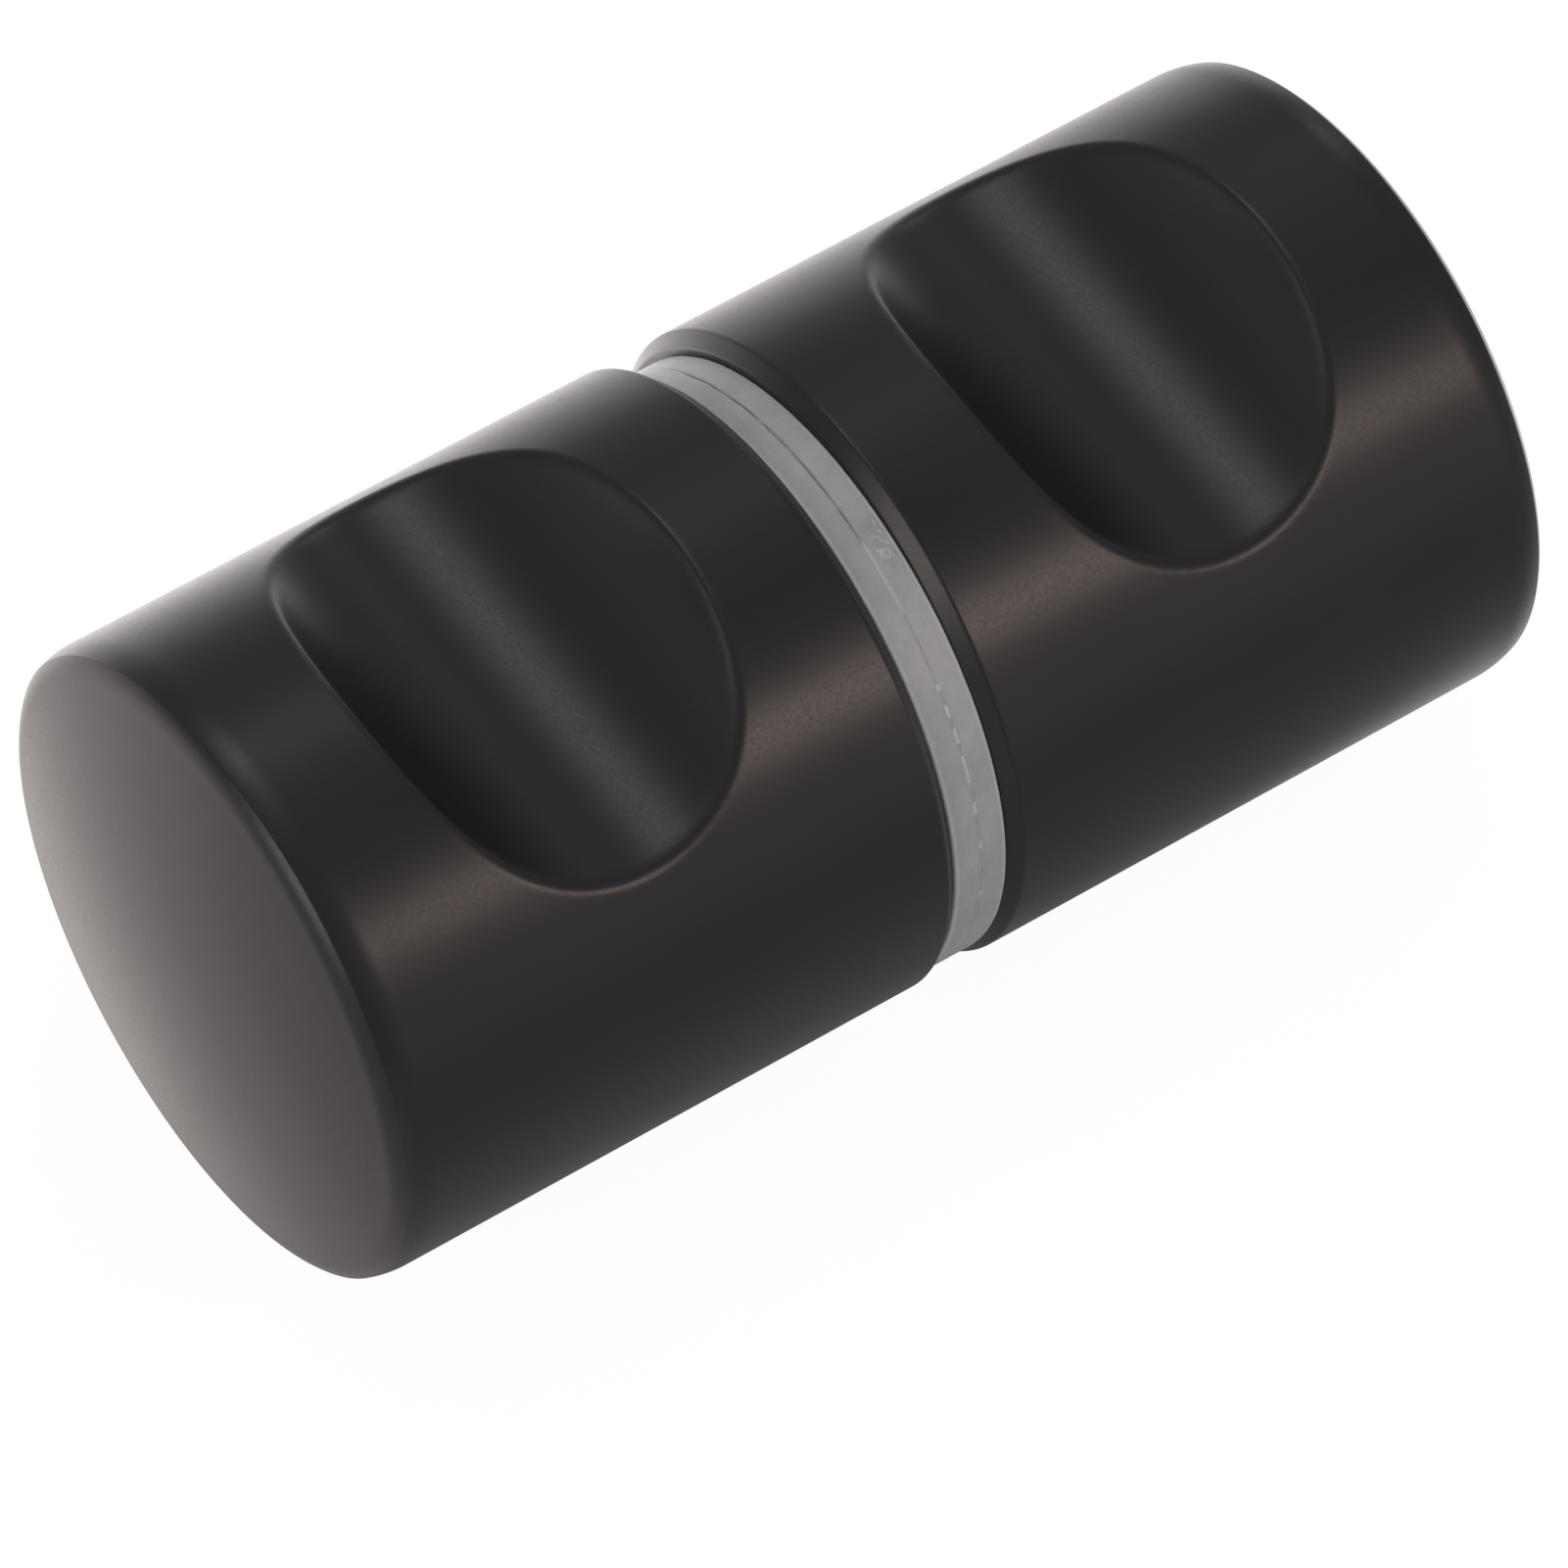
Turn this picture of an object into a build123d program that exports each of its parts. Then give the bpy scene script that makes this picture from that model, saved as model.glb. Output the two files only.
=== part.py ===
from build123d import *
import os
from math import radians, tan

# A pair of round knobs for a glass shower door, screwed together back to back.
# All sizes are in millimetres.
# Y runs along the screw, and y = 0 is where the two gaskets meet, with no glass between them.
# The finger recesses face up and down, and the front knob is the one on the -Y side.

os.makedirs("parts", exist_ok=True)

# Knob, turned from bar
# The crown is turned in short cones and the outer rim is broken by three flats, close to their rounds
knob_diameter = 30.0
knob_length = 30.5
crown_height = 1.8
crown_cones = 4
outer_rim_chamfer = 0.73
outer_rim_break = 0.27
inner_rim_chamfer = 0.5

# Finger recesses, milled straight across each knob on two opposite sides
recess_cutter_radius = 9.2
recess_depth = 5.0
recess_set_in = 0.2
recess_edge_chamfer = 0.35

# Threaded stud, plain to the size over its thread
stud_diameter = 8.0
stud_length = 26.0
stud_end_chamfer = 0.8
hex_socket_width = 4.0
hex_socket_depth = 4.0

# Tapped blind hole in each knob
thread_clearance = 0.05
hole_end_gap = 1.2
drill_point_angle = 118.0

# Plastic sleeve round the stud, which keeps the metal off the glass
sleeve_diameter = 11.6
sleeve_length = 6.0
sleeve_bore_clearance = 0.2
sleeve_edge_chamfer = 0.3

# Seat for the sleeve in each knob's inner face
seat_side_clearance = 0.25
seat_end_clearance = 0.3
seat_mouth_chamfer = 0.3

# Soft clear gaskets, one against each knob, a little off centre on the sleeve
gasket_diameter = 28.7
gasket_thickness = 1.35
gasket_edge_chamfer = 0.15
gasket_bore_clearance = 0.4
gasket_shift_x = 0.26
gasket_shift_z = -0.14

# Places along the screw's axis, worked out for the rear knob
knob_radius = knob_diameter / 2
inner_face = gasket_thickness
outer_end = inner_face + knob_length
barrel_end = outer_end - crown_height
recess_centre = (inner_face + barrel_end) / 2 - recess_set_in
cutter_height = knob_radius - recess_depth + recess_cutter_radius

# Hole and seat, from the stud and the sleeve that go in them
hole_radius = stud_diameter / 2 + thread_clearance
hole_shoulder = stud_length / 2 + hole_end_gap
hole_tip = hole_shoulder + hole_radius / tan(radians(drill_point_angle / 2))
seat_radius = sleeve_diameter / 2 + seat_side_clearance
seat_floor = sleeve_length / 2 + seat_end_clearance
gasket_bore_radius = sleeve_diameter / 2 + gasket_bore_clearance


def across(y, x=0.0, z=0.0):
    """A plane square to the screw, with its normal along +Y."""
    return Plane(origin=(x, y, z), x_dir=(1, 0, 0), z_dir=(0, 1, 0))


# Corners of the crown, from the barrel to the middle of the end
crown_corners = []
for step in range(crown_cones + 1):
    share = 1 - step / crown_cones
    crown_corners.append((knob_radius * share, outer_end - crown_height * share**2))

# Rear knob: one turned solid with a crowned end, a stepped blind hole and two recesses
with BuildPart() as rear_knob:
    with BuildSketch(Plane.XY) as profile:
        with BuildLine():
            Polyline(
                (0, hole_tip),
                (hole_radius, hole_shoulder),
                (hole_radius, seat_floor),
                (seat_radius, seat_floor),
                (seat_radius, inner_face),
                (knob_radius, inner_face),
                *crown_corners,
                close=True,
            )
        make_face()
        for corner, size in (
            ((seat_radius, inner_face), seat_mouth_chamfer),
            ((knob_radius, inner_face), inner_rim_chamfer),
            ((knob_radius, barrel_end), outer_rim_chamfer),
        ):
            chamfer(profile.vertices().sort_by_distance(corner)[0], size)
        chamfer(profile.vertices().sort_by_distance((knob_radius, barrel_end))[:2], outer_rim_break)
    revolve(axis=Axis.Y)

    with BuildSketch(Plane.YZ):
        with Locations((recess_centre, cutter_height), (recess_centre, -cutter_height)):
            Circle(recess_cutter_radius)
    extrude(amount=knob_radius, both=True, mode=Mode.SUBTRACT)
    chamfer(rear_knob.edges(Select.LAST), recess_edge_chamfer)
rear_knob.part.label = "rear_knob"
export_step(rear_knob.part, "parts/rear_knob.step")

# Front knob: the same piece the other way round
with BuildPart() as front_knob:
    mirror(rear_knob.part, about=Plane.XZ)
front_knob.part.label = "front_knob"
export_step(front_knob.part, "parts/front_knob.step")

# Rear gasket: a flat washer against the rear knob
with BuildPart() as rear_gasket:
    with BuildSketch(across(0, gasket_shift_x, gasket_shift_z)):
        Circle(gasket_diameter / 2)
        Circle(gasket_bore_radius, mode=Mode.SUBTRACT)
    extrude(amount=gasket_thickness)
    chamfer(rear_gasket.edges().filter_by(GeomType.CIRCLE).group_by(SortBy.RADIUS)[-1], gasket_edge_chamfer)
rear_gasket.part.label = "rear_gasket"
export_step(rear_gasket.part, "parts/rear_gasket.step")

# Front gasket: its twin, face to face with it
with BuildPart() as front_gasket:
    mirror(rear_gasket.part, about=Plane.XZ)
front_gasket.part.label = "front_gasket"
export_step(front_gasket.part, "parts/front_gasket.step")

# Stud: joins the knobs, with a socket for a hexagon key in its front end
with BuildPart() as connecting_stud:
    with BuildSketch(across(-stud_length / 2)):
        Circle(stud_diameter / 2)
    extrude(amount=stud_length)
    chamfer(connecting_stud.edges().filter_by(GeomType.CIRCLE), stud_end_chamfer)
    with BuildSketch(across(-stud_length / 2)):
        RegularPolygon(radius=hex_socket_width / 2, side_count=6, major_radius=False)
    extrude(amount=hex_socket_depth, mode=Mode.SUBTRACT)
connecting_stud.part.label = "connecting_stud"
export_step(connecting_stud.part, "parts/connecting_stud.step")

# Sleeve: fills the hole in the glass round the stud
with BuildPart() as glass_sleeve:
    with BuildSketch(across(-sleeve_length / 2)):
        Circle(sleeve_diameter / 2)
        Circle(stud_diameter / 2 + sleeve_bore_clearance, mode=Mode.SUBTRACT)
    extrude(amount=sleeve_length)
    chamfer(glass_sleeve.edges().filter_by(GeomType.CIRCLE).group_by(SortBy.RADIUS)[-1], sleeve_edge_chamfer)
glass_sleeve.part.label = "glass_sleeve"
export_step(glass_sleeve.part, "parts/glass_sleeve.step")
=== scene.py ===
from math import atan2, ceil, cos, hypot, pi, radians, sin, sqrt, tan

import bpy
from mathutils import Matrix, Vector


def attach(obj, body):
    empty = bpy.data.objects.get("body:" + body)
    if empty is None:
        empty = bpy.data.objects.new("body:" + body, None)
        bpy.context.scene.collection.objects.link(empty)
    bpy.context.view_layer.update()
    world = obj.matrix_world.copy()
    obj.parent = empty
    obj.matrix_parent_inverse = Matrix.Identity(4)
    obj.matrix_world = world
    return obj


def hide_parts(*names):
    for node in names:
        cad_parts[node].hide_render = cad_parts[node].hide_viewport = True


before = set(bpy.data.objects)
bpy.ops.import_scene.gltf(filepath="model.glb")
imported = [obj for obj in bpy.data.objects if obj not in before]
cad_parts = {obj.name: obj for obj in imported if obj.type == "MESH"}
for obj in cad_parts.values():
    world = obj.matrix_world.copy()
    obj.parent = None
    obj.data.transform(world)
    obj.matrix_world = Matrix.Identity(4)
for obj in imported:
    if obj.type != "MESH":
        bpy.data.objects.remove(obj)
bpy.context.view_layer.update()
mm = 0.001   # the sizes below are in millimetres, the meshes in metres
print("frame loaded:", sorted(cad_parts))

# Sizes that more than one piece takes its own from
shared = {
    "knobRadius": 15.0,
    "gasketThickness": 1.35,   # the knobs' inner faces stand this far from y = 0
    "studRadius": 4.0,
    "studLength": 26.0,
    "sleeveRadius": 5.8,
    "sleeveLength": 6.0,
    "mergeWithin": 0.002,      # corners closer than this become one
}


class nodeNumber:   # a number in a node tree, so that a formula reads as plain arithmetic
    def __init__(self, tree, source):
        self.tree, self.source = tree, source

    def math(self, operation, *others):
        node = self.tree.nodes.new("ShaderNodeMath")
        node.operation = operation
        for socket, value in zip(node.inputs, (self, *others)):
            plug(self.tree, value, socket)
        return nodeNumber(self.tree, node.outputs[0])

    def __add__(self, other): return self.math("ADD", other)
    def __sub__(self, other): return self.math("SUBTRACT", other)
    def __mul__(self, other): return self.math("MULTIPLY", other)
    def __truediv__(self, other): return self.math("DIVIDE", other)
    def atLeast(self, other): return self.math("MAXIMUM", other)
    def atMost(self, other): return self.math("MINIMUM", other)
    def absolute(self): return self.math("ABSOLUTE")
    def within(self, low, high): return self.math("GREATER_THAN", low) * self.math("LESS_THAN", high)


def plug(tree, value, socket):
    if isinstance(value, nodeNumber):
        value = value.source
    if isinstance(value, bpy.types.NodeSocket):
        tree.links.new(value, socket)
    else:
        socket.default_value = value


def addNode(tree, kind, inputs=None, **settings):
    node = tree.nodes.new(kind)
    for key, value in settings.items():
        setattr(node, key, value)
    for name, value in (inputs or {}).items():
        plug(tree, value, node.inputs[name])
    return node


def parts(tree, vector):   # the X, Y and Z of a vector
    split = addNode(tree, "ShaderNodeSeparateXYZ", {"Vector": vector})
    return [nodeNumber(tree, output) for output in split.outputs]


def noiseValue(tree, place, seed, scale, detail=2.0, roughness=0.5):
    return addNode(tree, "ShaderNodeTexNoise", {
        "Vector": place, "W": seed, "Scale": scale, "Detail": detail, "Roughness": roughness},
        noise_dimensions="4D").outputs["Fac"]


def facing(x, z, middle, half):   # 1 over most of the part of a ring that faces this way, 0 past its ends
    steepness = 3.0
    middle, half = radians(middle), radians(half)
    towards = x * sin(middle) + z * cos(middle) - cos(half)
    return (towards * (steepness / (1 - cos(half)))).atLeast(0.0).atMost(1.0)


def newTree(name, numbers):
    tree = bpy.data.node_groups.new(name, "GeometryNodeTree")
    tree.interface.new_socket("Geometry", in_out="INPUT", socket_type="NodeSocketGeometry")
    for label, value in numbers.items():
        kind = "NodeSocketInt" if isinstance(value, int) else "NodeSocketFloat"
        tree.interface.new_socket(label, in_out="INPUT", socket_type=kind).default_value = value
    tree.interface.new_socket("Material", in_out="INPUT", socket_type="NodeSocketMaterial")
    tree.interface.new_socket("Geometry", in_out="OUTPUT", socket_type="NodeSocketGeometry")
    given = addNode(tree, "NodeGroupInput")
    return tree, given, {label: nodeNumber(tree, given.outputs[label]) for label in numbers}


# The outline that a tree is given is a chain of points, x the radius and y the place along the screw.
# Each of them becomes one row of a grid, which the tree then bends round the Y axis.
# Crowding draws the columns together at the top and the bottom.
def turnedGrid(tree, given, columns, crowding=0.0):
    size = addNode(tree, "GeometryNodeAttributeDomainSize", {"Geometry": given.outputs["Geometry"]})
    rows = nodeNumber(tree, size.outputs["Point Count"])
    grid = addNode(tree, "GeometryNodeMeshGrid", {
        "Size X": 1.0, "Size Y": 1.0, "Vertices X": columns + 1, "Vertices Y": rows})
    place = addNode(tree, "GeometryNodeInputPosition").outputs[0]
    gridX, gridY, _ = parts(tree, place)
    share = gridX + 0.5
    row = ((gridY + 0.5) * (rows - 1.0)).math("ROUND")
    sample = addNode(tree, "GeometryNodeSampleIndex", {
        "Geometry": given.outputs["Geometry"], "Index": row}, data_type="FLOAT_VECTOR")
    plug(tree, place, sample.inputs["Value"])
    radius, along, _ = parts(tree, sample.outputs["Value"])
    angle = share * (2 * pi) - (share * (4 * pi)).math("SINE") * crowding * 0.5
    return grid, radius, along, angle


# Puts the grid's corners in place, closes its seam and its ends and gives it the material
def closeShell(tree, given, grid, x, y, z):
    where = addNode(tree, "ShaderNodeCombineXYZ", {"X": x, "Y": y, "Z": z})
    moved = addNode(tree, "GeometryNodeSetPosition", {
        "Geometry": grid.outputs["Mesh"], "Position": where.outputs[0]})
    merged = addNode(tree, "GeometryNodeMergeByDistance", {
        "Geometry": moved.outputs[0], "Distance": shared["mergeWithin"] * mm})
    smooth = addNode(tree, "GeometryNodeSetShadeSmooth", {"Geometry": merged.outputs[0]})
    real = addNode(tree, "GeometryNodeRealizeInstances", {"Geometry": smooth.outputs[0]})
    dressed = addNode(tree, "GeometryNodeSetMaterial", {
        "Geometry": real.outputs[0], "Material": given.outputs["Material"]})
    end = addNode(tree, "NodeGroupOutput")
    tree.links.new(dressed.outputs[0], end.inputs[0])


def growPiece(name, tree, outline, values, material):
    base = bpy.data.meshes.new(name + "Outline")
    base.from_pydata([(r * mm, y * mm, 0) for r, y in outline],
                     [(i, i + 1) for i in range(len(outline) - 1)], [])
    piece = bpy.data.objects.new(name, base)
    bpy.context.scene.collection.objects.link(piece)
    shape = piece.modifiers.new("Shape", "NODES")
    shape.node_group = tree
    for item in tree.interface.items_tree:
        if item.in_out == "INPUT" and item.name in values:
            shape[item.identifier] = values[item.name]
        elif item.in_out == "INPUT" and item.name == "Material":
            shape[item.identifier] = material
    ready = piece.evaluated_get(bpy.context.evaluated_depsgraph_get())
    mesh = bpy.data.meshes.new_from_object(ready)
    piece.modifiers.clear()
    piece.data = mesh
    mesh.name = name
    print(name, "has", sum(len(f.vertices) - 2 for f in mesh.polygons), "triangles")
    return piece


# Corners are (radius, along, round, step of the run after it). Each round is an arc, and short steps
# next to it, the guards, keep the flats flat under smooth shading.
def roundedOutline(corners, arcStep=0.14, guard=0.12):
    points = [corners[0][:2]]
    for i in range(len(corners) - 1):
        (r0, y0, _, step), (r1, y1, rounding, _) = corners[i], corners[i + 1]
        startX, startY = points[-1]
        length = hypot(r1 - r0, y1 - y0)
        ux, uy = (r1 - r0) / length, (y1 - y0) / length
        turn = tangent = 0
        if rounding and i + 2 < len(corners):
            r2, y2 = corners[i + 2][:2]
            turn = atan2(ux * (y2 - y1) - uy * (r2 - r1), ux * (r2 - r1) + uy * (y2 - y1))
            tangent = rounding * tan(abs(turn) / 2)
        endX, endY = r1 - ux * tangent, y1 - uy * tangent
        run = hypot(endX - startX, endY - startY)
        marks = [0, run]
        if run > 3 * guard:
            inside = max(1, round((run - 2 * guard) / step))
            marks = [0] + [guard + (run - 2 * guard) * k / inside for k in range(inside + 1)] + [run]
        points += [(startX + ux * m, startY + uy * m) for m in marks[1:]]
        if tangent:
            side = 1 if turn > 0 else -1
            nx, ny = -uy * side, ux * side
            middleX, middleY = endX + nx * rounding, endY + ny * rounding
            count = max(3, ceil(rounding * abs(turn) / arcStep))
            for k in range(1, count + 1):
                c, s = cos(turn * k / count), sin(turn * k / count)
                points.append((middleX - (nx * c - ny * s) * rounding,
                               middleY - (nx * s + ny * c) * rounding))
    return points


def newMaterial(name):
    material = bpy.data.materials.new(name)
    material.use_nodes = True
    tree = material.node_tree
    tree.nodes.clear()
    surface = addNode(tree, "ShaderNodeBsdfPrincipled")
    output = addNode(tree, "ShaderNodeOutputMaterial")
    tree.links.new(surface.outputs[0], output.inputs["Surface"])
    place = addNode(tree, "ShaderNodeTexCoord")
    return material, tree, surface, place.outputs["Object"]


def noise(tree, place, grain, detail, roughness, seed):
    return noiseValue(tree, place, seed, 1.0 / (grain * mm), detail, roughness)


def spread(tree, value, low, high, fromLow=0.3, fromHigh=0.7):   # a noise mostly lies between 0.3 and 0.7
    node = addNode(tree, "ShaderNodeMapRange", {
        "Value": value, "From Min": fromLow, "From Max": fromHigh, "To Min": low, "To Max": high})
    return nodeNumber(tree, node.outputs[0])


def blend(tree, factor, first, second):   # first and second are colours or sockets
    node = addNode(tree, "ShaderNodeMix", {"Factor": factor}, data_type="RGBA")
    for socket, colour in ((node.inputs[6], first), (node.inputs[7], second)):
        plug(tree, (*colour, 1) if isinstance(colour, tuple) else colour, socket)
    return node.outputs[2]


def bump(tree, surface, heights):   # heights are (value, depth), the broadest first
    normal = None
    for value, depth in heights:
        node = addNode(tree, "ShaderNodeBump", {"Height": value, "Strength": 1.0, "Distance": depth * mm})
        if normal:
            tree.links.new(normal, node.inputs["Normal"])
        normal = node.outputs["Normal"]
    tree.links.new(normal, surface.inputs["Normal"])


# Finishes. The cloud is the broad unevenness and the fine noise the grain: (size, detail, roughness, seed).
blackCoat = {
    "dark": (0.0084, 0.0081, 0.0088),
    "light": (0.0113, 0.0108, 0.0117),
    "roughness": (0.33, 0.39),
    "roughnessFrom": "fine",
    "cloud": (7.0, 3.0, 0.55, 1.7),
    "fine": (0.16, 2.0, 0.6, 4.2),
    "bumps": (("cloud", 0.004), ("fine", 0.0009)),
    "settings": {"IOR": 1.5},
}

zincSteel = {
    "dark": (0.42, 0.43, 0.45),
    "light": (0.62, 0.63, 0.64),
    "roughness": (0.26, 0.42),
    "roughnessFrom": "cloud",
    "cloud": (1.4, 3.0, 0.6, 2.4),
    "fine": (0.12, 2.0, 0.6, 5.5),
    "bumps": (("fine", 0.002),),
    "settings": {"Metallic": 1.0},
}

whiteNylon = {
    "dark": (0.60, 0.59, 0.55),
    "light": (0.74, 0.73, 0.69),
    "roughness": (0.38, 0.52),
    "roughnessFrom": "fine",
    "cloud": (3.0, 2.0, 0.5, 3.3),
    "fine": (0.15, 2.0, 0.6, 7.1),
    "bumps": (("fine", 0.003),),
    "settings": {
        "Subsurface Weight": 0.2, "Subsurface Radius": (1.0, 0.9, 0.8), "Subsurface Scale": 0.8 * mm},
}


def makeFinish(name, c):
    material, tree, surface, place = newMaterial(name)
    noises = {kind: noise(tree, place, *c[kind]) for kind in ("cloud", "fine")}
    colour = blend(tree, spread(tree, noises["cloud"], 0.0, 1.0), c["dark"], c["light"])
    tree.links.new(colour, surface.inputs["Base Color"])
    plug(tree, spread(tree, noises[c["roughnessFrom"]], *c["roughness"]), surface.inputs["Roughness"])
    for socket, value in c["settings"].items():
        surface.inputs[socket].default_value = value
    bump(tree, surface, [(noises[kind], depth) for kind, depth in c["bumps"]])
    return material


clearRubber = {
    "dark": (0.470, 0.505, 0.500),
    "light": (0.605, 0.650, 0.645),
    # The pale line along both outer edges of the gasket pair is a painted highlight
    "edge": (0.80, 0.83, 0.84),
    "edgeHighlightFrom": (1.12, 1.26),     # how far from the seam the painted highlight along each edge starts and is full
    "seam": (0.045, 0.075),       # half the width of the seam's line, and where it has faded out
    # The dark line in the open seam is painted shade in its groove
    "seamShadeColour": (0.16, 0.165, 0.17),
    # Painted glints and highlights along the seam and on the moulding marks
    "glintColour": (0.92, 0.94, 0.95),
    "strength": {"seam": 0.6, "seamGlint": 0.65, "marks": 0.6},
    # Middle and half of the parts of the ring with an open seam and painted shade in it, a painted glint line
    # beside the moulding marks, those marks, painted pale as a highlight, and thin flash with painted glints
    # on it, in degrees from +Z to +X
    "seamOpen": (-12.0, 30.0),
    "seamGlintShown": (22.0, 9.0),
    "marksShown": (18.0, 6.0),
    "flashAndGlintShown": (66.0, 24.0),
    "markRows": (0.30, 1.05),     # the marks stand on the rear gasket, between these places along the screw
    "markLine": 0.05,             # how far from the noise's middle value a mark's line has faded out
    "rimRadius": 14.35,
    "cloudShare": 0.75,           # the rest of the colour's unevenness comes from the fine noise
    "cloud": (2.2, 3.0, 0.6, 0.8),
    "fine": (0.22, 2.0, 0.6, 6.1),
    "patches": (1.6, 2.0, 0.6, 9.3),
    "glintDashes": (0.55, 1.0, 0.5, 2.9),
    "marks": (0.62, 0.5, 0.5, 5.7),
    # What the noise is spread to, and the values of the noise that become these two
    "patchSpread": (0.15, 1.0, 0.42, 0.60),
    "glintDashSpread": (0.0, 1.0, 0.50, 0.56),
    "bumps": (("cloud", 0.02), ("fine", 0.004)),
    "roughness": (0.34, 0.50),
    "settings": {
        "IOR": 1.48, "Transmission Weight": 0.15, "Subsurface Weight": 0.3,
        "Subsurface Radius": (1.0, 1.0, 1.0), "Subsurface Scale": 0.6 * mm},
}


def makeClearRubber():
    c = clearRubber
    material, tree, surface, place = newMaterial("clearRubber")
    noises = {kind: noise(tree, place, *c[kind]) for kind in ("cloud", "fine", "patches", "glintDashes", "marks")}
    x, y, z = parts(tree, place)
    away = y.absolute()
    x, z = (value / (c["rimRadius"] * mm) for value in (x, z))
    edge = spread(tree, away, 0.0, 1.0, *(value * mm for value in c["edgeHighlightFrom"]))
    onSeam = spread(tree, away, 1.0, 0.0, *(value * mm for value in c["seam"]))
    patches = spread(tree, noises["patches"], *c["patchSpread"])
    glintDashes = spread(tree, noises["glintDashes"], *c["glintDashSpread"])
    # The marks are thin bent lines, where a noise passes its middle value. They are moulding marks, painted
    # pale in the glint colour as a painted highlight
    line = (nodeNumber(tree, noises["marks"]) - 0.5).absolute() * (-1.0 / c["markLine"]) + 1.0
    line = line.atLeast(0.0) * y.within(*(value * mm for value in c["markRows"]))

    patchy = spread(tree, noises["cloud"], 0.0, c["cloudShare"])
    patchy = patchy + spread(tree, noises["fine"], 0.0, 1.0 - c["cloudShare"])
    colour = blend(tree, patchy, c["dark"], c["light"])
    # Painted over the rubber's colour: a painted highlight along both edges, painted shade in the open seam,
    # and painted glints on the seam and the marks
    for amount, paint in (
            (edge, "edge"),
            (onSeam * facing(x, z, *c["seamOpen"]) * patches * c["strength"]["seam"], "seamShadeColour"),
            (onSeam * facing(x, z, *c["seamGlintShown"]) * c["strength"]["seamGlint"], "glintColour"),
            (line * facing(x, z, *c["marksShown"]) * c["strength"]["marks"], "glintColour"),
            (onSeam * facing(x, z, *c["flashAndGlintShown"]) * glintDashes, "glintColour")):
        colour = blend(tree, amount, colour, c[paint])
    tree.links.new(colour, surface.inputs["Base Color"])
    plug(tree, spread(tree, noises["fine"], *c["roughness"]), surface.inputs["Roughness"])
    for socket, value in c["settings"].items():
        surface.inputs[socket].default_value = value
    bump(tree, surface, [(noises[kind], depth) for kind, depth in c["bumps"]])
    return material


blackMaterial = makeFinish("blackCoat", blackCoat)
rubberMaterial = makeClearRubber()
steelMaterial = makeFinish("zincSteel", zincSteel)
nylonMaterial = makeFinish("whiteNylon", whiteNylon)
print("materials made")


# Knobs, turned round and with a finger recess milled across two opposite sides
knob = {
    "radius": shared["knobRadius"],
    "innerFace": shared["gasketThickness"],
    "length": 30.5,
    "crownHeight": 1.8,
    "crownStart": 12.8,        # the radius at which the crown's rows begin
    "crownRows": 13,
    # The outer rim as runs from the barrel to the crown: (slope in degrees, length, round at its start)
    "outerRim": ((18.0, 0.70, 4.0), (46.0, 0.60, 0.15), (76.3, 0.0, 1.6)),
    "innerRim": (0.62, 0.2),   # chamfer, and the round that breaks its two edges
    "seatRadius": shared["sleeveRadius"] + 0.25,
    "seatFloor": shared["sleeveLength"] / 2 + 0.3,
    "seatMouth": 0.3,
    "holeRadius": shared["studRadius"] + 0.05,
    "holeShoulder": shared["studLength"] / 2 + 1.2,
    "holePoint": 2.43,         # how deep the drill's point goes past the shoulder
    "holeRound": 0.1,
    "mouthRound": 0.05,
    "rowStep": 0.158,
    "columns": 384,
    "crowding": 0.5,           # columns stand closer where the recesses are
    "recessCentre": 15.5,
    "recessDepth": 5.0,
    "cutterRadius": 9.2,
    "edgeRound": 0.34,
    "leastCosine": 0.02,       # keeps the cutter's reach finite at the knob's sides
}


def knobOutline():
    k = knob
    cut, cutRound = k["innerRim"]
    crownEnd = k["innerFace"] + k["length"]
    bend = (k["radius"] ** 2 + k["crownHeight"] ** 2) / (2 * k["crownHeight"])   # the crown's own radius

    def crownAt(r):
        return crownEnd - bend + sqrt(bend ** 2 - r ** 2)

    slopes = [(radians(slope), length, rounding) for slope, length, rounding in k["outerRim"]]
    rimFace = k["radius"] - sum(length * sin(slope) for slope, length, _ in slopes)
    rimStart = crownAt(rimFace) - sum(length * cos(slope) for slope, length, _ in slopes)
    rim = [(k["radius"], rimStart, slopes[0][2], 1.0)]
    for (slope, length, _), (_, _, rounding) in zip(slopes, slopes[1:]):
        r, y = rim[-1][:2]
        rim.append((r - length * sin(slope), y + length * cos(slope), rounding, 1.0))
    crownRadii = [k["crownStart"] * (1 - i / k["crownRows"]) for i in range(k["crownRows"] + 1)]

    mouth, hole, seat = k["seatMouth"], k["holeRadius"], k["seatRadius"]
    turned = roundedOutline([
        (0, k["holeShoulder"] + k["holePoint"], 0, 1.5),
        (hole, k["holeShoulder"], k["holeRound"], 2.5),
        (hole, k["seatFloor"], k["holeRound"], 1.0),
        (seat, k["seatFloor"], k["holeRound"], 1.0),
        (seat, k["innerFace"] + mouth, k["mouthRound"], 1.0),
        (seat + mouth, k["innerFace"], k["mouthRound"], 2.5),
        (k["radius"] - cut, k["innerFace"], cutRound, 0.3),
        (k["radius"], k["innerFace"] + cut, cutRound, k["rowStep"]),
        *rim,
        (crownRadii[0], crownAt(crownRadii[0]), 0, 1.0)])
    return turned + [(r, crownAt(r)) for r in crownRadii[1:]]


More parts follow.
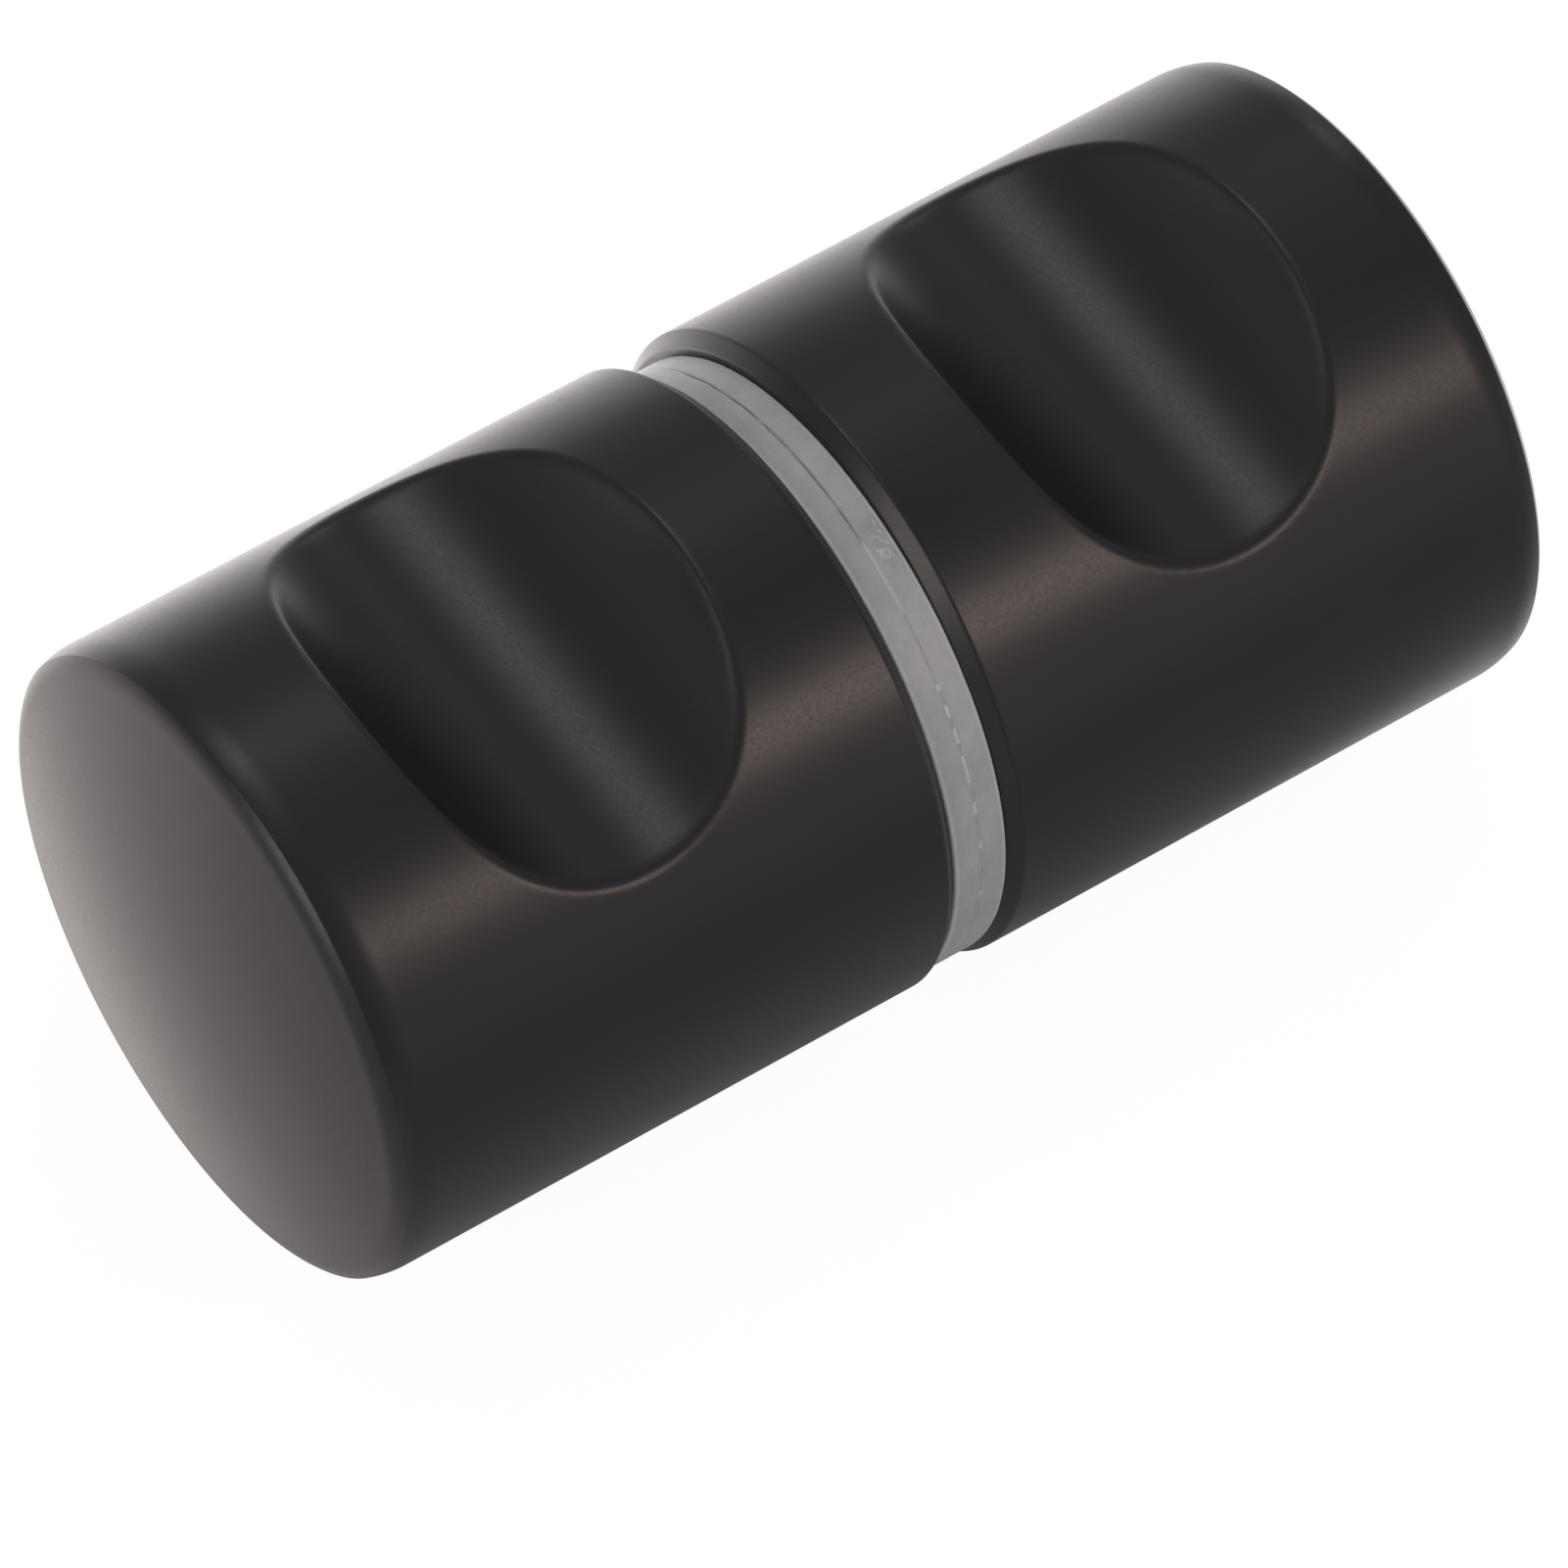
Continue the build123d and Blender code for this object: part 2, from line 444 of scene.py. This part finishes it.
def makeKnobTree():
    k = knob
    tree, given, number = newTree("turnedKnob", {
        "Columns": k["columns"], "Crowding": k["crowding"], "Side": 1.0,
        "Barrel Radius": k["radius"] * mm, "Recess Centre": k["recessCentre"] * mm,
        "Recess Depth": k["recessDepth"] * mm, "Cutter Radius": k["cutterRadius"] * mm,
        "Edge Round": k["edgeRound"] * mm})
    grid, radius, along, angle = turnedGrid(tree, given, number["Columns"], number["Crowding"])
    sine, cosine = angle.math("SINE"), angle.math("COSINE")
    # How high the cutter's underside stands at this place along the knob, and outside its width, far off
    off = along - number["Recess Centre"]
    reach = number["Cutter Radius"] * number["Cutter Radius"] - off * off
    height = (number["Barrel Radius"] - number["Recess Depth"] + number["Cutter Radius"]
              - reach.atLeast(0.0).math("SQRT"))
    cut = height / cosine.absolute().atLeast(k["leastCosine"])
    cut = cut + reach.math("LESS_THAN", 0.0)
    # The lower of the two, with the edge between them rounded
    near = ((number["Edge Round"] - (radius - cut).absolute()) / number["Edge Round"]).atLeast(0.0)
    low = radius.atMost(cut) - near * near * number["Edge Round"] * 0.25
    # With side -1 the knob is turned half way round about Z, which keeps its faces outwards
    side = number["Side"]
    closeShell(tree, given, grid, low * sine * side, along * side, low * cosine)
    return tree


knobTree = makeKnobTree()
knobs = {}
for side, name in ((-1.0, "front_knob"), (1.0, "rear_knob")):
    knobs[name] = growPiece(name + "_shell", knobTree, knobOutline(), {"Side": side}, blackMaterial)
print("knobs made")


# Gaskets, soft washers whose rims meet in a seam, open on top and with a thin flash below.
# Each noise round the ring is (seed, scale, the values that become 0 and 1).
gasket = {
    "radius": clearRubber["rimRadius"],
    "thickness": shared["gasketThickness"],
    "boreRadius": shared["sleeveRadius"] + 0.4,
    "boreRound": 0.1,
    "shift": (0.26, -0.14),    # how far the pair sits off the screw's axis, along X and Z
    "seamRound": 0.02,
    "seamRowStep": 0.045,
    "knobSideRound": 0.15,
    "columns": 1000,
    "seamWave": 0.10,
    "waveFade": 2.5,           # the wave has gone at the thickness divided by this
    "waveNoise": (0.0, 5.0, 0.2, 0.8),
    "seamDepth": 0.11,
    "seamWidth": 0.12,
    "grooveLeast": 0.3,        # the share of its depth that the groove keeps all along the open seam
    "grooveNoise": (4.0, 16.0, 0.35, 0.6),
    "flashHeight": 0.07,
    "flashNoise": (9.0, 45.0, 0.50, 0.56),
    "markHeight": 0.05,
    "markNoise": (0.0, 50.0, 0.52, 0.56),
    "markChange": 3500.0,      # how fast the marks and the lumps change along the screw
    "rimWave": 0.05,
    "lumpNoise": (0.0, 22.0),
    "lumpChange": 900.0,
    "rimFrom": 0.97,           # the share of the radius at which the rim's forms begin
    "rimFull": 0.995,
    "seed": 3.0,
}


def gasketOutline():
    g = gasket
    start = (g["boreRadius"], g["thickness"] / 2, 0, 0.3)
    return roundedOutline([
        start,
        (g["boreRadius"], 0, g["boreRound"], 2.5),
        (g["radius"], 0, g["seamRound"], g["seamRowStep"]),
        (g["radius"], g["thickness"], g["knobSideRound"], 2.5),
        (g["boreRadius"], g["thickness"], g["boreRound"], 0.3),
        start], arcStep=0.05, guard=0.03)


def ringNoise(tree, ring, seed, scale, low, high):   # noise round the ring, 0 at low and 1 at high
    value = nodeNumber(tree, noiseValue(tree, ring, seed, scale))
    return ((value - low) / (high - low)).atLeast(0.0).atMost(1.0)


def makeGasketTree():
    g, shown = gasket, clearRubber
    tree, given, number = newTree("softGasket", {
        "Columns": g["columns"], "Side": 1.0,
        "Rim Radius": g["radius"] * mm, "Thickness": g["thickness"] * mm,
        "Shift X": g["shift"][0] * mm, "Shift Z": g["shift"][1] * mm,
        "Seam Wave": g["seamWave"] * mm, "Seam Depth": g["seamDepth"] * mm, "Seam Width": g["seamWidth"] * mm,
        "Flash Height": g["flashHeight"] * mm, "Mark Height": g["markHeight"] * mm,
        "Rim Wave": g["rimWave"] * mm, "Seed": g["seed"]})
    grid, radius, along, angle = turnedGrid(tree, given, number["Columns"])
    side = number["Side"]
    x, z = angle.math("SINE") * side, angle.math("COSINE")
    ring = addNode(tree, "ShaderNodeCombineXYZ", {"X": x, "Y": z}).outputs[0]

    def around(noiseName, extraSeed=0.0):
        seed, *rest = g[noiseName]
        return ringNoise(tree, ring, number["Seed"] + seed + extraSeed, *rest)

    # The wave, the groove and the flash are the same on both gaskets, which still meet face to face
    wave = (around("waveNoise") - 0.5) * number["Seam Wave"]
    wave = wave * (along / number["Thickness"] * -g["waveFade"] + 1.0).atLeast(0.0)
    nearSeam = (along / number["Seam Width"] * -1.0 + 1.0).atLeast(0.0)
    groove = around("grooveNoise") * (1.0 - g["grooveLeast"]) + g["grooveLeast"]
    groove = groove * facing(x, z, *shown["seamOpen"])
    flash = facing(x, z, *shown["flashAndGlintShown"]) * around("flashNoise")
    # Moulding marks on the rear gasket alone, and lumps that differ on the two
    marks = facing(x, z, *shown["marksShown"]) * around("markNoise", along * g["markChange"])
    marks = marks * side.atLeast(0.0) * along.within(*(value * mm for value in shown["markRows"]))
    lumpSeed, lumpScale = g["lumpNoise"]
    lumps = noiseValue(tree, ring, along * g["lumpChange"] * side + number["Seed"] + lumpSeed, lumpScale)
    swell = (nodeNumber(tree, lumps) - 0.5) * number["Rim Wave"]
    swell = swell - nearSeam * groove * number["Seam Depth"] + nearSeam * flash * number["Flash Height"]
    swell = swell + marks * number["Mark Height"]
    nearRim = (radius / number["Rim Radius"] - g["rimFrom"]) * (1.0 / (g["rimFull"] - g["rimFrom"]))
    out = radius + swell * nearRim.atLeast(0.0).atMost(1.0)
    x, z = out * x + number["Shift X"], out * z + number["Shift Z"]
    closeShell(tree, given, grid, x, along * side + wave, z)
    return tree


gasketTree = makeGasketTree()
gaskets = {}
for side, name in ((-1.0, "front_gasket"), (1.0, "rear_gasket")):
    gaskets[name] = growPiece(name + "_ring", gasketTree, gasketOutline(), {"Side": side}, rubberMaterial)
print("gaskets made")


# Stud, threaded from end to end and with a socket for a hexagon key in its front end
stud = {
    "radius": shared["studRadius"],
    "length": shared["studLength"],
    "pitch": 1.25,
    "threadDepth": 0.68,
    "crest": 0.125,            # the shares of the pitch in which the crest and the slope end
    "slope": 0.625,
    "endChamfer": 0.8,
    "socketWidth": 4.0,
    "socketDepth": 4.0,
    "socketReach": 1.01,       # points within this many socket radii take the socket's shape
    "columns": 72,
    "rowStep": 0.1,
}


def studOutline():
    s = stud
    end, flat = s["length"] / 2, s["socketWidth"] / 2
    socketFloor, chamfered = s["socketDepth"] - end, s["radius"] - s["endChamfer"]
    return roundedOutline([
        (0, socketFloor, 0, 0.8),
        (flat, socketFloor, 0, 0.8),
        (flat, -end, 0, 0.5),
        (chamfered, -end, 0, 0.1),
        (s["radius"], s["endChamfer"] - end, 0, s["rowStep"]),
        (s["radius"], end - s["endChamfer"], 0, 0.1),
        (chamfered, end, 0, 1.0),
        (0, end, 0, 1.0)], guard=0.05)


def makeStudTree():
    s = stud
    tree, given, number = newTree("threadedStud", {
        "Columns": s["columns"], "Radius": s["radius"] * mm, "Pitch": s["pitch"] * mm,
        "Thread Depth": s["threadDepth"] * mm, "Socket Radius": s["socketWidth"] / 2 * mm})
    grid, radius, along, angle = turnedGrid(tree, given, number["Columns"])
    # The thread: a slope with a flat crest and root, once each pitch and once each turn
    phase = (along / number["Pitch"] - angle / (2 * pi)).math("FRACT")
    slope = (((phase - 0.5).absolute() * 2.0 - s["crest"]) / s["slope"]).atLeast(0.0).atMost(1.0)
    low = radius.atMost(number["Radius"] - slope * number["Thread Depth"])
    # The socket's six sides
    sixth = ((angle / (pi / 3)).math("FRACT") - 0.5) * (pi / 3)
    inSocket = low.math("LESS_THAN", number["Socket Radius"] * s["socketReach"])
    inSocket = inSocket * along.math("LESS_THAN", 0.0)
    low = low * (inSocket * (sixth.math("COSINE").math("POWER", -1.0) - 1.0) + 1.0)
    closeShell(tree, given, grid, low * angle.math("SINE"), along, low * angle.math("COSINE"))
    return tree


studPiece = growPiece("connecting_stud_thread", makeStudTree(), studOutline(), {}, steelMaterial)
print("stud made")


# Sleeve: the CAD piece as it is, in nylon
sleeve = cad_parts["glass_sleeve"]
sleeve.data.materials.clear()
sleeve.data.materials.append(nylonMaterial)

for name, piece in {**knobs, **gaskets, "connecting_stud": studPiece}.items():
    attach(piece, "root")
    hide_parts(name)
print("pieces ride on the frame")


# Camera, standing as it did for the photograph: places in metres, lens and sensor in millimetres
camera = {
    "right": (0.574, 0.816, 0.068),
    "back": (0.435, -0.374, 0.819),
    "away": 0.5813,
    "below": 0.00529,      # how far under the origin the frame's middle is
    "lens": 308.3,
    "sensor": 36.0,
    "clip": (0.01, 50.0),
}


def makeCamera():
    back = Vector(camera["back"]).normalized()
    right = (Vector(camera["right"]) - back * Vector(camera["right"]).dot(back)).normalized()
    up = back.cross(right)
    place = back * camera["away"] - up * camera["below"]
    lensData = bpy.data.cameras.new("photoCamera")
    lensData.sensor_width, lensData.lens = camera["sensor"], camera["lens"]
    lensData.clip_start, lensData.clip_end = camera["clip"]
    view = bpy.data.objects.new("photoCamera", lensData)
    view.matrix_world = Matrix((
        (right.x, up.x, back.x, place.x), (right.y, up.y, back.y, place.y),
        (right.z, up.z, back.z, place.z), (0, 0, 0, 1)))
    bpy.context.scene.collection.objects.link(view)
    bpy.context.scene.camera = view


makeCamera()


# Studio: a table that glows at the back left, a white sweep for the camera alone, and soft lights.
# Its places are in metres, unless a note says millimetres.
studio = {
    "tableColour": (0.20, 0.20, 0.20),
    "tableHeight": -0.01502,
    "tableHalf": 3.0,
    # The table's glow by how far a spot lies to the left, along X and Y: (millimetres, beside, in front)
    # The glow is dim towards +X, under and beside the knobs, which is a painted shadow of the knobs, and it
    # rises in front of the near end face as a painted pool of light
    "glowAcross": (-0.90, 0.45),
    "glow": ((-40, 0.26, 0.45), (-28, 0.27, 0.58), (-13, 0.21, 0.82), (-4, 0.26, 1.04), (5, 1.10, 1.22),
             (13, 1.70, 1.32), (24, 2.65, 1.40), (40, 2.35, 1.20), (70, 1.38, 1.00), (180, 0.88, 0.90)),
    "glowTop": 2.65,
    "glowColours": ((1.0, 0.96, 0.95), (1.0, 0.92, 0.89)),
    "frontEdge": (-0.027, -0.031),   # from this y to this the beside column gives way to the front one
    # The front's glow rises towards the knob's end face, from one y to the next, and from right to left
    "frontNear": (-0.042, -0.032),
    "frontLeft": (-0.022, -0.009),
    "frontRise": 0.5,
    "sweepGlow": 0.95,
    "sweepColour": (0.12, 0.12, 0.12),
    "sweepHalf": 6.0,
    "sweepLift": 0.00001,
    "skyColour": (1.0, 0.98, 1.06),
    "skyStrength": 0.31,
    # name: (towards the light, how far, width, height, power in watts, colour), each facing the knobs
    "lights": {
        "warmStrip": ((0.660, 0.334, 0.672), 0.262, 0.038, 0.038, 0.062, (1.0, 0.80, 0.72)),
        "warmSpot": ((0.688, 0.440, 0.577), 1.0, 0.10, 0.10, 0.46, (1.0, 0.80, 0.70)),
        "topSoft": ((-0.480, 0.075, 0.874), 1.0, 0.34, 0.16, 0.66, (1.0, 0.95, 0.96)),
        "frontSoft": ((0.065, -0.925, 0.375), 1.0, 0.50, 0.50, 2.50, (1.0, 0.90, 0.83)),
        "backLeft": ((-0.619, 0.620, 0.483), 1.0, 0.16, 0.16, 0.24, (1.0, 0.88, 0.96)),
        "rightLow": ((0.890, 0.434, 0.139), 1.0, 0.42, 0.42, 0.32, (1.0, 0.82, 0.80)),
        "overhead": ((-0.281, 0.050, 0.958), 1.0, 0.42, 0.42, 0.40, (1.0, 0.74, 0.60)),
    },
}


def makeStageMaterial(name, colour):   # matt and without any gloss
    material, tree, surface, place = newMaterial(name)
    surface.inputs["Base Color"].default_value = (*colour, 1)
    surface.inputs["Roughness"].default_value = 1.0
    surface.inputs["Specular IOR Level"].default_value = 0.0
    return material, tree, surface, place


def makeTableMaterial():
    material, tree, surface, place = makeStageMaterial("glowingTable", studio["tableColour"])
    x, y, _ = parts(tree, place)
    first, last = studio["glow"][0][0] * mm, studio["glow"][-1][0] * mm
    across = x * studio["glowAcross"][0] + y * studio["glowAcross"][1]
    share = (across - first) / (last - first)
    ramps = []
    for column, colour in enumerate(studio["glowColours"], 1):
        ramp = addNode(tree, "ShaderNodeValToRGB", {"Fac": share})
        stops = ramp.color_ramp.elements
        while len(stops) < len(studio["glow"]):
            stops.new(0.5)
        for stop, row in zip(stops, studio["glow"]):
            stop.position = (row[0] * mm - first) / (last - first)
            stop.color = (*[row[column] / studio["glowTop"] * c for c in colour], 1)
        ramps.append(ramp.outputs["Color"])
    front = spread(tree, y, 0.0, 1.0, *studio["frontEdge"])
    tree.links.new(blend(tree, front, *ramps), surface.inputs["Emission Color"])
    near = front * spread(tree, y, 0.0, 1.0, *studio["frontNear"])
    near = near * spread(tree, across, 0.0, 1.0, *studio["frontLeft"])
    plug(tree, (near * studio["frontRise"] + 1.0) * studio["glowTop"], surface.inputs["Emission Strength"])
    return material


def makeSweepMaterial():
    material, _, surface, _ = makeStageMaterial("whiteSweep", studio["sweepColour"])
    surface.inputs["Emission Color"].default_value = (1, 1, 1, 1)
    surface.inputs["Emission Strength"].default_value = studio["sweepGlow"]
    return material


def makeStage(name, half, height, material):
    corners = [(-half, -half, height), (half, -half, height), (half, half, height), (-half, half, height)]
    mesh = bpy.data.meshes.new(name)
    mesh.from_pydata(corners, [], [(0, 1, 2, 3)])
    mesh.materials.append(material)
    stage = bpy.data.objects.new(name, mesh)
    bpy.context.scene.collection.objects.link(stage)
    return stage


table = makeStage("table", studio["tableHalf"], studio["tableHeight"], makeTableMaterial())
table.visible_camera = False
sweepHeight = studio["tableHeight"] + studio["sweepLift"]
sweep = makeStage("sweep", studio["sweepHalf"], sweepHeight, makeSweepMaterial())
sweep.visible_diffuse = sweep.visible_glossy = sweep.visible_transmission = sweep.visible_shadow = False

for name, (towards, far, width, height, power, colour) in studio["lights"].items():
    light = bpy.data.lights.new(name, "AREA")
    light.shape, light.size, light.size_y = "RECTANGLE", width, height
    light.energy, light.color = power, colour
    lamp = bpy.data.objects.new(name, light)
    lamp.location = Vector(towards).normalized() * far
    lamp.rotation_euler = Vector(towards).to_track_quat("Z", "Y").to_euler()
    bpy.context.scene.collection.objects.link(lamp)

world = bpy.data.worlds.new("sky")
world.use_nodes = True
background = world.node_tree.nodes["Background"]
background.inputs["Color"].default_value = (*studio["skyColour"], 1)
background.inputs["Strength"].default_value = studio["skyStrength"]
bpy.context.scene.world = world
bpy.context.scene.view_settings.view_transform = "Standard"
print("studio made")
